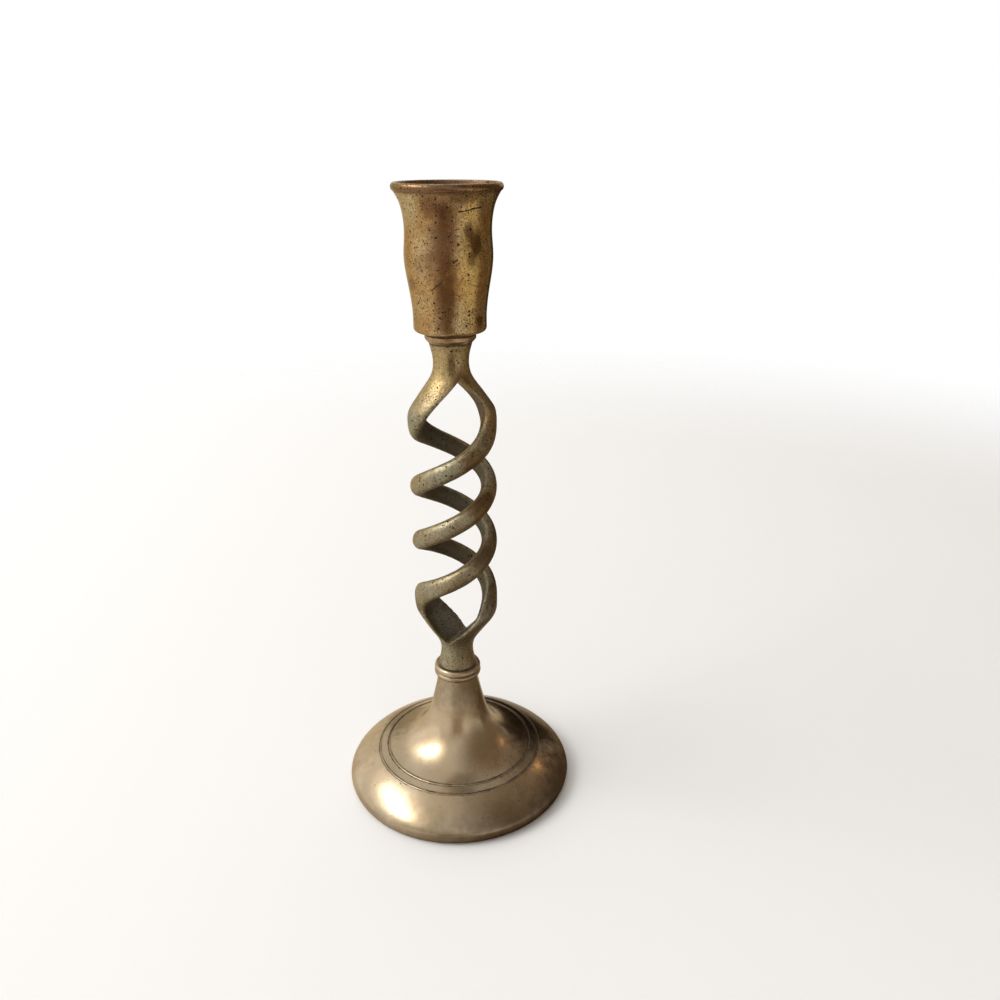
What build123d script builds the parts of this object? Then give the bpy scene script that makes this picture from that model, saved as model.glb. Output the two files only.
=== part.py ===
from build123d import *

import math
import os

# Spiral candle holder of aged cast brass: a hollow domed foot, a double-bead ring, an open twist
# stem of two strands, a small collar and a flared cup for one candle. A tie rod with a washer and
# a nut holds foot, ring and stem together, and a stud holds the stem, the collar and the cup.
# Millimetres, +Z up, origin on the table at the middle of the foot. Seen from the front, along +Y,
# the strands in front rise to the right: the twist is right-handed.

# Heights of the stack, from the table up
foot_height = 47.2
ring_height = 4.6
stem_length = 127.0
collar_height = 2.9
cup_height = 48.3

# Foot: a hollow casting that stands on its rim
foot_radius = 44.5
foot_edge_height = 3.0
foot_rest_inset = 2.2
foot_rest_width = 2.6
foot_wall = 2.6
foot_neck_radius = 7.7
outer_line_inset = 12.1
outer_line_height = 13.6
line_spacing = 3.7
line_rise = 1.2
line_width = 0.7
foot_seat_height = 26.0
foot_seat_radius = 9.4
skirt_slope = 26.0
dome_slope = 17.0
neck_slope = 83.0
# Shares of the way from the edge to the outer line, in and up, that shape the skirt
skirt_shares = [(0.21, 0.40), (0.66, 0.785)]
# Shares of the way from the inner line to the neck, in and up, that shape the trumpet
trumpet_shares = [(0.438, 0.13), (0.757, 0.377), (0.906, 0.685)]

# Double-bead ring between the foot and the stem
ring_end_radius = 8.2
lower_bead_radius = 9.05
lower_bead_height = 1.2
upper_bead_radius = 8.98
upper_bead_height = 3.1
bead_edge_radius = 8.8
groove_height = 2.2
groove_width = 0.4
groove_depth = 0.3

# Twist stem: two hubs and two strands in one casting
hub_end_radius = 7.6
hub_neck_radius = 6.2
hub_neck_from_end = 7.0
hub_neck_curve = 11.5
flare_angle = 36.0
elbow_curve = 7.0
strand_outer_radius = 15.7
strand_thickness = 5.8
strand_spread = 33.0
crotch_from_end = 11.8
crotch_gap = 0.6
crotch_length = 15.5
strand_root = 2.4
strand_root_rise = 0.05
strand_root_sink = 0.35
front_angle = 90.0
twist_pitch = 43.0
twist_end_pitch = 400.0
steady_twist_length = 51.0
easing_twist_length = 16.5
section_count = 45
edge_point_count = 9

# Spigot under the stem, which centres the ring and the foot
spigot_radius = 5.0
spigot_reach = 5.5
spigot_end_gap = 0.5
spigot_clearance = 0.08

# Screw thread shared by the tie rod and the cup stud
thread_radius = 3.0
thread_pitch = 1.0
thread_depth = 0.45
thread_clearance = 0.05
thread_tip = 0.5
thread_end_gap = 0.5
passing_clearance = 0.3

# Tie rod, washer and nut under the foot
rod_reach_in_hub = 5.0
rod_past_nut = 2.6
slot_width = 1.0
slot_depth = 1.4
washer_radius = 6.0
washer_thickness = 1.6
nut_across_flats = 10.0
nut_height = 5.0
nut_side_count = 6
nut_chamfer_angle = 30.0

# Cup stud
stud_reach_in_stem = 7.2
stud_reach_in_cup = 9.6

# Collar under the cup
collar_radius = 8.8
collar_side_height = 1.5
collar_foot_radius = 7.5

# Cup
cup_underside_rise = 0.9
cup_corner_round = 1.7
cup_lower_radius = 12.4
cup_lower_height = 5.6
cup_belly_radius = 14.7
cup_belly_height = 25.6
cup_waist_radius = 14.3
cup_waist_height = 33.3
cup_lip_radius = 18.15
cup_lip_height = 2.5
cup_lip_taper = 0.55
cup_lip_step = 0.15
cup_lip_round = 0.8
cup_lip_wall = 1.4
cup_flare_slope = 58.0
bore_radius = 11.25
bore_length = 24.0
cup_floor_height = 12.6
mouth_slope = 50.0
# Shares of the way from the lower radius to the belly, out and up, that shape the side
side_shares = [(0.055, 0.14), (0.37, 0.44), (0.80, 0.74)]
# Shares of the way from the waist to the lip, out and up, that shape the flare
flare_shares = [(0.12, 0.417), (0.45, 0.74)]

overrun = 2.0

# Radii and levels worked out from the sizes above
foot_rest_radius = foot_radius - foot_rest_inset
outer_line_radius = foot_radius - outer_line_inset
inner_line_radius = outer_line_radius - line_spacing
inner_line_height = outer_line_height + line_rise
stem_level = foot_height + ring_height
stem_top = stem_level + stem_length
stem_middle = stem_level + stem_length / 2
cup_level = stem_top + collar_height
cup_top = cup_level + cup_height
nut_level = foot_seat_height - washer_thickness - nut_height
neck_reach = stem_length / 2 - hub_neck_from_end
crotch_reach = stem_length / 2 - crotch_from_end


def point(radius, height):
    """Return a point of an outline in the X-Z plane."""
    return Vector(radius, 0, height)


def way(degrees):
    """Return the direction that leaves the +X axis by an angle, in the X-Z plane."""
    return Vector(math.cos(math.radians(degrees)), 0, math.sin(math.radians(degrees)))


def between(start, end, across_share, up_share):
    """Return the outline point at a share of the way across and a share of the way up."""
    return point(
        start.X + (end.X - start.X) * across_share, start.Z + (end.Z - start.Z) * up_share
    )


def spin(*edges):
    """Turn the closed outline that the edges make into a solid of revolution."""
    return revolve(make_face(list(edges)), Axis.Z)


def rod(radius, low, high):
    """Return a round rod on the axis, from one height to another."""
    return Pos(Z=(low + high) / 2) * Cylinder(radius, high - low)


def inset(before, here, after, wall):
    """Return the outline point moved a wall's thickness to the right of the outline's way."""
    along = (after - before).normalized()
    return here + Vector(along.Z, 0, -along.X) * wall


def threaded_rod(low, high):
    """Return a rod with V-shaped rings as its screw thread and a plain tip, from one height to
    another."""
    turns = int((high - low - thread_tip) / thread_pitch)
    root = thread_radius - thread_depth
    outline = [point(0, low), point(root, low)]
    for turn in range(turns):
        foot = low + turn * thread_pitch
        outline.append(point(thread_radius, foot + thread_pitch / 2))
        outline.append(point(root, foot + thread_pitch))
    outline += [point(root, high), point(0, high)]
    return spin(Polyline(*outline, close=True))


def skirt_points():
    """Return the outline points of the foot from its edge up to the outer line."""
    edge = point(foot_radius, foot_edge_height)
    line = point(outer_line_radius, outer_line_height)
    return [edge, *[between(edge, line, inward, up) for inward, up in skirt_shares], line]


def trumpet_points():
    """Return the outline points of the foot from its inner line up to its neck."""
    line = point(inner_line_radius, inner_line_height)
    neck = point(foot_neck_radius, foot_height)
    return [line, *[between(line, neck, inward, up) for inward, up in trumpet_shares], neck]


def foot_body():
    """Return the foot's outer form as a full solid."""
    skirt = skirt_points()
    trumpet = trumpet_points()
    middle = point(0, 0)
    rest = point(foot_rest_radius, 0)
    top = point(0, foot_height)
    return spin(
        Line(middle, rest),
        TangentArc(skirt[0], rest, tangent=way(-90)),
        Spline(*skirt, tangents=[way(90), way(180 - skirt_slope)]),
        Line(skirt[-1], trumpet[0]),
        Spline(*trumpet, tangents=[way(180 - dome_slope), way(180 - neck_slope)]),
        Line(trumpet[-1], top),
        Line(top, middle),
    )


def foot_hollow():
    """Return the space under the foot, one wall inside its outer form, up to the washer's seat."""
    outline = skirt_points() + trumpet_points()
    inner = [
        inset(outline[i + 1], outline[i], outline[i - 1], foot_wall)
        for i in range(2, len(outline) - 2)
    ]
    inner = [place for place in inner if place.Z < foot_seat_height - foot_wall]
    rim_radius = foot_rest_radius - foot_rest_width
    edge = point(rim_radius, foot_edge_height)
    seat = point(foot_seat_radius, foot_seat_height)
    return spin(
        Polyline(seat, point(0, foot_seat_height), point(0, -overrun), point(rim_radius, -overrun), edge),
        Spline(edge, *inner, seat, tangents=[way(90), way(90)]),
    )


def foot():
    """Return the hollow foot with its two incised lines, its socket and its rod hole."""
    body = foot_body() - foot_hollow()
    for radius, height in [
        (inner_line_radius, inner_line_height),
        (outer_line_radius, outer_line_height),
    ]:
        body -= Pos(Z=height) * Torus(radius, line_width / 2)
    socket_floor = foot_height - spigot_reach - spigot_end_gap
    body -= rod(spigot_radius + spigot_clearance, socket_floor, foot_height + overrun)
    body -= rod(thread_radius + passing_clearance, foot_seat_height - overrun, foot_height)
    return body


def knop_ring():
    """Return the ring with two beads that slips over the stem's spigot."""
    bore = spigot_radius + spigot_clearance
    low = foot_height
    groove_low = low + groove_height - groove_width / 2
    groove_high = low + groove_height + groove_width / 2
    groove_floor = point(bead_edge_radius - groove_depth, low + groove_height)
    bottom = point(ring_end_radius, low)
    top = point(ring_end_radius, stem_level)
    return spin(
        ThreePointArc(
            bottom, point(lower_bead_radius, low + lower_bead_height), point(bead_edge_radius, groove_low)
        ),
        Polyline(point(bead_edge_radius, groove_low), groove_floor, point(bead_edge_radius, groove_high)),
        ThreePointArc(
            point(bead_edge_radius, groove_high), point(upper_bead_radius, low + upper_bead_height), top
        ),
        Polyline(top, point(bore, stem_level), point(bore, low), bottom),
    )


def flare_radius(reach):
    """Return the stem's outer radius between a hub's neck and the strands, by the distance from
    the stem's middle: a hollow curve, a straight flare, a rounded elbow, then the strands."""
    turn = math.radians(flare_angle)
    fall = neck_reach - reach
    neck_fall = hub_neck_curve * math.sin(turn)
    neck_gain = hub_neck_curve * (1 - math.cos(turn))
    elbow_gain = elbow_curve * (1 - math.cos(turn))
    straight_gain = strand_outer_radius - hub_neck_radius - neck_gain - elbow_gain
    straight_fall = straight_gain / math.tan(turn)
    elbow_left = neck_fall + straight_fall + elbow_curve * math.sin(turn) - fall
    if fall <= neck_fall:
        return hub_neck_radius + hub_neck_curve - math.sqrt(hub_neck_curve**2 - fall**2)
    if fall <= neck_fall + straight_fall:
        return hub_neck_radius + neck_gain + (fall - neck_fall) * math.tan(turn)
    if elbow_left > 0:
        return strand_outer_radius - elbow_curve + math.sqrt(elbow_curve**2 - elbow_left**2)
    return strand_outer_radius


def twist_at(height):
    """Return how far the strands have turned at a height from the stem's middle, in degrees: at a
    steady rate in the middle, easing to nearly straight before each hub."""
    reach = abs(height)
    rate = 360 / twist_pitch
    end_rate = 360 / twist_end_pitch
    steady = min(reach, steady_twist_length / 2)
    easing = min(max(reach - steady, 0), easing_twist_length)
    straight = reach - steady - easing
    eased = rate * easing + (end_rate - rate) * easing**2 / (2 * easing_twist_length)
    return math.copysign(rate * steady + eased + end_rate * straight, height)


def strand_section(height):
    """Return one strand's level section at a height from the stem's middle: half a disc with a
    flat inner face at the crotch, which becomes an oval bent round the axis at the elbow."""
    reach = abs(height)
    depth = max(reach - crotch_reach, 0) / strand_root
    share = min(max((crotch_reach - reach) / crotch_length, 0), 1)
    ease = share**2 * (3 - 2 * share)
    outer = flare_radius(reach) + strand_root_rise * (1 - ease - depth) - strand_root_sink * depth
    corner_radius = outer - ease * strand_thickness / 2
    crotch_spread = math.degrees(math.acos(crotch_gap / 2 / outer))
    spread = strand_spread + (crotch_spread - strand_spread) * (1 - share) ** 2
    turned = front_angle + twist_at(height)

    def place(radius, degrees):
        angle = math.radians(turned + degrees)
        return Vector(radius * math.cos(angle), radius * math.sin(angle), stem_middle + height)

    ends = [place(corner_radius, -spread), place(corner_radius, spread)]
    outer_edge = []
    inner_edge = []
    for index in range(edge_point_count):
        step = math.radians(180 * index / (edge_point_count - 1) - 90)
        bulge = math.cos(step)
        degrees = spread * math.sin(step)
        outer_edge.append(place(corner_radius + (outer - corner_radius) * bulge, degrees))
        hollow = place(corner_radius - bulge * strand_thickness / 2, degrees)
        flat = ends[0] + (ends[1] - ends[0]) * (1 + math.sin(step)) / 2
        inner_edge.append(flat + (hollow - flat) * ease)
    return Wire([Spline(*outer_edge), Spline(*reversed(inner_edge))])


def strand():
    """Return one strand, which stands a hair proud of the hubs and ends a little inside them."""
    steps = [2 * index / (section_count - 1) - 1 for index in range(section_count)]
    root = crotch_reach + strand_root
    heights = [-root, *[crotch_reach * step for step in steps], root]
    return Solid.make_loft([strand_section(height) for height in heights])


def hub(side):
    """Return the lower hub (side -1) or the upper hub (side 1), from its end to the crotch."""
    crotch = stem_middle + side * crotch_reach
    neck = stem_middle + side * neck_reach
    end = stem_middle + side * stem_length / 2
    crotch_edge = point(flare_radius(crotch_reach), crotch)
    neck_edge = point(hub_neck_radius, neck)
    end_edge = point(hub_end_radius, end)
    return spin(
        TangentArc(neck_edge, crotch_edge, tangent=way(-90 * side)),
        Polyline(crotch_edge, point(0, crotch), point(0, end), end_edge),
        TangentArc(neck_edge, end_edge, tangent=way(90 * side)),
    )


def twist_stem():
    """Return the stem: both hubs, both strands, the spigot and the two threaded holes."""
    one_strand = strand()
    body = hub(-1) + one_strand + Rot(Z=180) * one_strand + hub(1)
    body += rod(spigot_radius, foot_height - spigot_reach, stem_level)
    hole = thread_radius + thread_clearance
    rod_end = stem_level + rod_reach_in_hub + thread_end_gap
    body -= rod(hole, foot_height - spigot_reach - overrun, rod_end)
    body -= rod(hole, stem_top - stud_reach_in_stem - thread_end_gap, stem_top + overrun)
    return body


def tie_rod():
    """Return the threaded rod from under the nut up into the stem's lower hub, with its slot."""
    low = nut_level - rod_past_nut
    body = threaded_rod(low, stem_level + rod_reach_in_hub)
    slot = Box(thread_radius * 2 + overrun, slot_width, slot_depth * 2)
    return body - Pos(Z=low) * slot


def tie_washer():
    """Return the washer between the nut and the foot's seat."""
    hole = thread_radius + passing_clearance
    low = foot_seat_height - washer_thickness
    return rod(washer_radius, low, foot_seat_height) - rod(hole, low - overrun, foot_seat_height + overrun)


def tie_nut():
    """Return the hexagon nut with both ends chamfered."""
    high = nut_level + nut_height
    blank = Pos(Z=nut_level) * extrude(
        RegularPolygon(nut_across_flats / 2, nut_side_count, major_radius=False), nut_height
    )
    corner = nut_across_flats / 2 / math.cos(math.pi / nut_side_count)
    drop = (corner - nut_across_flats / 2) * math.tan(math.radians(nut_chamfer_angle))
    barrel = spin(
        Polyline(
            point(0, nut_level),
            point(nut_across_flats / 2, nut_level),
            point(corner, nut_level + drop),
            point(corner, high - drop),
            point(nut_across_flats / 2, high),
            point(0, high),
            close=True,
        )
    )
    hole = rod(thread_radius + thread_clearance, nut_level - overrun, high + overrun)
    return (blank & barrel) - hole


def cup_stud():
    """Return the stud that holds the cup and the collar on the stem."""
    return threaded_rod(stem_top - stud_reach_in_stem, cup_level + stud_reach_in_cup)


def cup_collar():
    """Return the small collar under the cup, chamfered down to the stem."""
    bore = thread_radius + passing_clearance
    return spin(
        Polyline(
            point(bore, stem_top),
            point(collar_foot_radius, stem_top),
            point(collar_radius, cup_level - collar_side_height),
            point(collar_radius, cup_level),
            point(bore, cup_level),
            close=True,
        )
    )


def cup_body():
    """Return the cup's outer form as a full solid."""
    waist = point(cup_waist_radius, cup_level + cup_waist_height)
    lip_low = point(cup_lip_radius - cup_lip_taper, cup_top - cup_lip_height)
    lip_middle = point(cup_lip_radius, cup_top - cup_lip_height / 2)
    lip_top = point(cup_lip_radius - cup_lip_round, cup_top)
    flare_top = lip_low - Vector(X=cup_lip_step)
    lower = point(cup_lower_radius, cup_level + cup_lower_height)
    belly = point(cup_belly_radius, cup_level + cup_belly_height)
    side = [between(lower, belly, out, up) for out, up in side_shares]
    flare = [between(waist, flare_top, out, up) for out, up in flare_shares]
    corner = point(cup_lower_radius, cup_level + cup_underside_rise + cup_corner_round)
    under = point(cup_lower_radius - cup_corner_round, cup_level + cup_underside_rise)
    return spin(
        Polyline(point(0, cup_top), point(0, cup_level), point(collar_radius, cup_level), under),
        TangentArc(corner, under, tangent=way(-90)),
        Line(corner, lower),
        Spline(lower, *side, belly, waist, *flare, flare_top, tangents=[way(90), way(cup_flare_slope)]),
        Line(flare_top, lip_low),
        ThreePointArc(lip_low, lip_middle, lip_top),
        Line(lip_top, point(0, cup_top)),
    )


def cup_hollow():
    """Return the space inside the cup: the candle bore and the flared mouth above it."""
    floor = cup_level + cup_floor_height
    bore_top = point(bore_radius, floor + bore_length)
    mouth = point(cup_lip_radius - cup_lip_wall, cup_top)
    above = point(mouth.X, cup_top + overrun)
    return spin(
        Polyline(bore_top, point(bore_radius, floor), point(0, floor), point(0, above.Z), above, mouth),
        Spline(mouth, bore_top, tangents=[way(180 + mouth_slope), way(-90)]),
    )


def candle_cup():
    """Return the flared cup with its candle bore and the threaded hole under it."""
    hole_top = cup_level + stud_reach_in_cup + thread_end_gap
    hole = rod(thread_radius + thread_clearance, cup_level - overrun, hole_top)
    return cup_body() - cup_hollow() - hole


pieces = {
    "foot": foot,
    "knop_ring": knop_ring,
    "twist_stem": twist_stem,
    "tie_rod": tie_rod,
    "tie_washer": tie_washer,
    "tie_nut": tie_nut,
    "cup_stud": cup_stud,
    "cup_collar": cup_collar,
    "candle_cup": candle_cup,
}

os.makedirs("parts", exist_ok=True)
for name, build in pieces.items():
    export_step(build(), f"parts/{name}.step")
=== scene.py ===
"""Visual model of the spiral candle holder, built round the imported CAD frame.

The foot, the double-bead ring, the collar and the cup are turned pieces: one outline each, spun
round the axis. The twist stem is the CAD casting with an even skin and a hand-finished surface.
The tie rod, the washer, the nut and the cup stud stay the CAD's own and get a worn steel finish.
Sizes in the classes are millimetres and scene objects are metres, +Z up, with the origin on the
table at the middle of the foot.
"""

import logging
import math
from dataclasses import dataclass, field
from enum import Enum
from itertools import pairwise
from typing import Any

import bpy
import numpy as np
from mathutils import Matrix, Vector


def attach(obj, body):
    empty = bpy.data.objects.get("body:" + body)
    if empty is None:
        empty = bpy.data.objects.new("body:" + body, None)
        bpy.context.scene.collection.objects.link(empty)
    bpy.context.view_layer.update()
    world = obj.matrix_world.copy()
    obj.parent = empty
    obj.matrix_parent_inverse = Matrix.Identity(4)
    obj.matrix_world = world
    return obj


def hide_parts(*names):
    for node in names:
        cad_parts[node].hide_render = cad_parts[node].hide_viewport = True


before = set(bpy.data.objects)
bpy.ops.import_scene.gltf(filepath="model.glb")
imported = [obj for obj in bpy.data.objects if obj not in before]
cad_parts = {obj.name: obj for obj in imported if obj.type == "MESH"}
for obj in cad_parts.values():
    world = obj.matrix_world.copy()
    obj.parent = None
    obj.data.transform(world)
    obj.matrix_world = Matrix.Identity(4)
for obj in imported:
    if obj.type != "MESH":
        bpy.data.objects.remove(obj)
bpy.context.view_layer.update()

log = logging.getLogger("spiral_candle_holder")

Colour = tuple[float, float, float]
Place = tuple[float, float]
Spot = tuple[float, float, float]

MM = 0.001
BODY = "root"
SHADE = "shade"  # the vertex attribute that notes how much a face looks at the axis or down
SMOOTH_ANGLE = math.radians(40.0)
DISC_CORNERS = 96
EDGE_TINT: Colour = (0.76, 0.66, 0.51)  # of brass seen at a flat angle

# Sizes of the fine patterns of brass, in millimetres
GRAIN_SIZE = 0.5
MOTTLE_SIZE = 1.3
WANDER_SIZE = 1.6
RAGGED_SIZE = 3.2
PIT_LAYERS = ((1.7, 1.0), (0.95, 0.66), (0.6, 0.42))  # how far apart, and share of the pit size


class Making(Enum):
    """How a brass piece was made, which decides the relief of its skin."""

    TURNED = "turned on a lathe, with faint rings"
    CAST = "cast and finished by hand, with a hammered skin"


class Signal:
    """A number in a shader. Sums, differences and products of it add Math nodes."""

    def __init__(self, graph: "Graph", socket: bpy.types.NodeSocket) -> None:
        """Wrap an output socket.

        Args:
            graph: The graph that the socket belongs to.
            socket: The output socket.
        """
        self.graph = graph
        self.socket = socket

    def made(self, operation: str, *terms: Any) -> "Signal":
        """Add one Math node.

        Args:
            operation: The Math node's operation.
            terms: Numbers or signals for its sockets, in order.

        Returns:
            The node's result.
        """
        node = self.graph.node("ShaderNodeMath", {"operation": operation}, dict(enumerate(terms)))
        return Signal(self.graph, node.outputs[0])

    def __add__(self, other: Any) -> "Signal":
        """Return the sum."""
        return self.made("ADD", self, other)

    __radd__ = __add__

    def __sub__(self, other: Any) -> "Signal":
        """Return the difference."""
        return self.made("SUBTRACT", self, other)

    def __rsub__(self, other: Any) -> "Signal":
        """Return the difference the other way round."""
        return self.made("SUBTRACT", other, self)

    def __mul__(self, other: Any) -> "Signal":
        """Return the product."""
        return self.made("MULTIPLY", self, other)

    __rmul__ = __mul__

    def __abs__(self) -> "Signal":
        """Return the size without its sign."""
        return self.made("ABSOLUTE", self)

    def larger(self, other: Any) -> "Signal":
        """Return the larger of the two."""
        return self.made("MAXIMUM", self, other)

    def step(self, low: float, high: float) -> "Signal":
        """Return a smooth rise from 0 to 1, or a fall where low is the higher of the two.

        Args:
            low: Where the result is 0.
            high: Where the result is 1.

        Returns:
            The rise as a signal between 0 and 1.
        """
        settings = {"interpolation_type": "SMOOTHSTEP", "clamp": True}
        sockets = {"Value": self, "From Min": low, "From Max": high}
        if low > high:
            sockets |= {"From Min": high, "From Max": low, "To Min": 1.0, "To Max": 0.0}
        node = self.graph.node("ShaderNodeMapRange", settings, sockets)
        return Signal(self.graph, node.outputs["Result"])


class Graph:
    """The nodes of one material or of the world."""

    def __init__(self, tree: bpy.types.NodeTree) -> None:
        """Start an empty graph.

        Args:
            tree: The node tree, which is cleared.
        """
        self.tree = tree
        tree.nodes.clear()

    def node(
        self,
        kind: str,
        settings: dict[str, Any] | None = None,
        sockets: dict[str | int, Any] | None = None,
    ) -> bpy.types.Node:
        """Add a node.

        Args:
            kind: The node's type.
            settings: Its settings, which are set first.
            sockets: Values, signals or output sockets for its inputs, by name or number.

        Returns:
            The new node.
        """
        made = self.tree.nodes.new(kind)
        for key, value in (settings or {}).items():
            setattr(made, key, value)
        for key, value in (sockets or {}).items():
            source = value.socket if isinstance(value, Signal) else value
            if isinstance(source, bpy.types.NodeSocket):
                self.tree.links.new(source, made.inputs[key])
            else:
                made.inputs[key].default_value = source
        return made

    def place(self) -> bpy.types.NodeSocket:
        """Return the object's own coordinates, in millimetres."""
        raw = self.node("ShaderNodeTexCoord").outputs["Object"]
        return self.vector("SCALE", raw, {"Scale": 1 / MM})

    def vector(
        self,
        operation: str,
        first: Any,
        others: dict[str | int, Any] | None = None,
        output: int = 0,
    ) -> bpy.types.NodeSocket:
        """Add one Vector Math node.

        Args:
            operation: The node's operation.
            first: The first vector.
            others: Its other sockets.
            output: 0 for the vector result, 1 for the value.

        Returns:
            The output socket.
        """
        sockets = {0: first, **(others or {})}
        node = self.node("ShaderNodeVectorMath", {"operation": operation}, sockets)
        return node.outputs[output]

    def noise(self, place: Any, size: float, detail: float = 2.0, rough: float = 0.5) -> Signal:
        """Add soft noise between about 0.2 and 0.8.

        Args:
            place: The coordinates, in millimetres.
            size: The size of one cloud in millimetres.
            detail: How many finer layers it has.
            rough: How strong these are.

        Returns:
            The noise as a signal.
        """
        sockets = {"Vector": place, "Scale": 1 / size, "Detail": detail, "Roughness": rough}
        node = self.node("ShaderNodeTexNoise", {"noise_dimensions": "3D"}, sockets)
        return Signal(self, node.outputs[0])

    def cells(self, place: Any, size: float) -> tuple[Signal, Signal, Signal]:
        """Add a pattern of cells.

        Args:
            place: The coordinates, in millimetres.
            size: The distance between neighbouring cells in millimetres.

        Returns:
            The distance from the nearest cell's point in millimetres, and two numbers from 0 to 1
            that are the same all over a cell.
        """
        sockets = {"Vector": place, "Scale": 1 / size}
        node = self.node("ShaderNodeTexVoronoi", {"voronoi_dimensions": "3D"}, sockets)
        parts = self.node("ShaderNodeSeparateColor", None, {0: node.outputs["Color"]})
        distance = Signal(self, node.outputs["Distance"]) * size
        return distance, Signal(self, parts.outputs[0]), Signal(self, parts.outputs[1])

    def blend(self, share: Any, under: Any, over: Any) -> bpy.types.NodeSocket:
        """Mix two colours.

        Args:
            share: How much of the second shows.
            under: The first colour or a link.
            over: The second colour or a link.

        Returns:
            The mixed colour.
        """

        def full(colour: Any) -> Any:
            """Return a plain colour with its alpha, and a link as it is."""
            return (*colour, 1.0) if isinstance(colour, tuple) else colour

        settings = {"data_type": "RGBA", "blend_type": "MIX", "clamp_factor": True}
        sockets = {0: share, 6: full(under), 7: full(over)}
        return self.node("ShaderNodeMix", settings, sockets).outputs[2]


@dataclass(frozen=True)
class GrimeAndShadeBand:
    """A dark band at one height: grime where two forms meet, and painted shade at the foot's bottom
    edge.

    Attributes:
        height: The height of its middle in millimetres.
        width: How far it reaches up and down in millimetres.
        strength: How dark it is, from 0 to 1.
    """

    height: float
    width: float
    strength: float = 1.0


@dataclass(frozen=True)
class Scratch:
    """A thin dark score in the surface.

    Attributes:
        path: The points that it runs through, in millimetres.
        width: Its half width in millimetres.
    """

    path: tuple[Spot, ...]
    width: float = 0.22


@dataclass(frozen=True)
class StainAndPaintedLight:
    """A soft patch of another tone with a torn edge: tarnish and marks, and in places painted
    shade, painted reflections and a painted highlight.

    Attributes:
        middle: Its middle in millimetres.
        reach: How far it reaches along X, Y and Z in millimetres.
        strength: How much of its colour shows, from 0 to 1.
        colour: Its colour.
        torn: How torn its edge is, from 0 to 1.
    """

    middle: Spot
    reach: Spot
    strength: float = 0.7
    colour: Colour = (0.13, 0.075, 0.035)
    torn: float = 1.0


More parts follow.
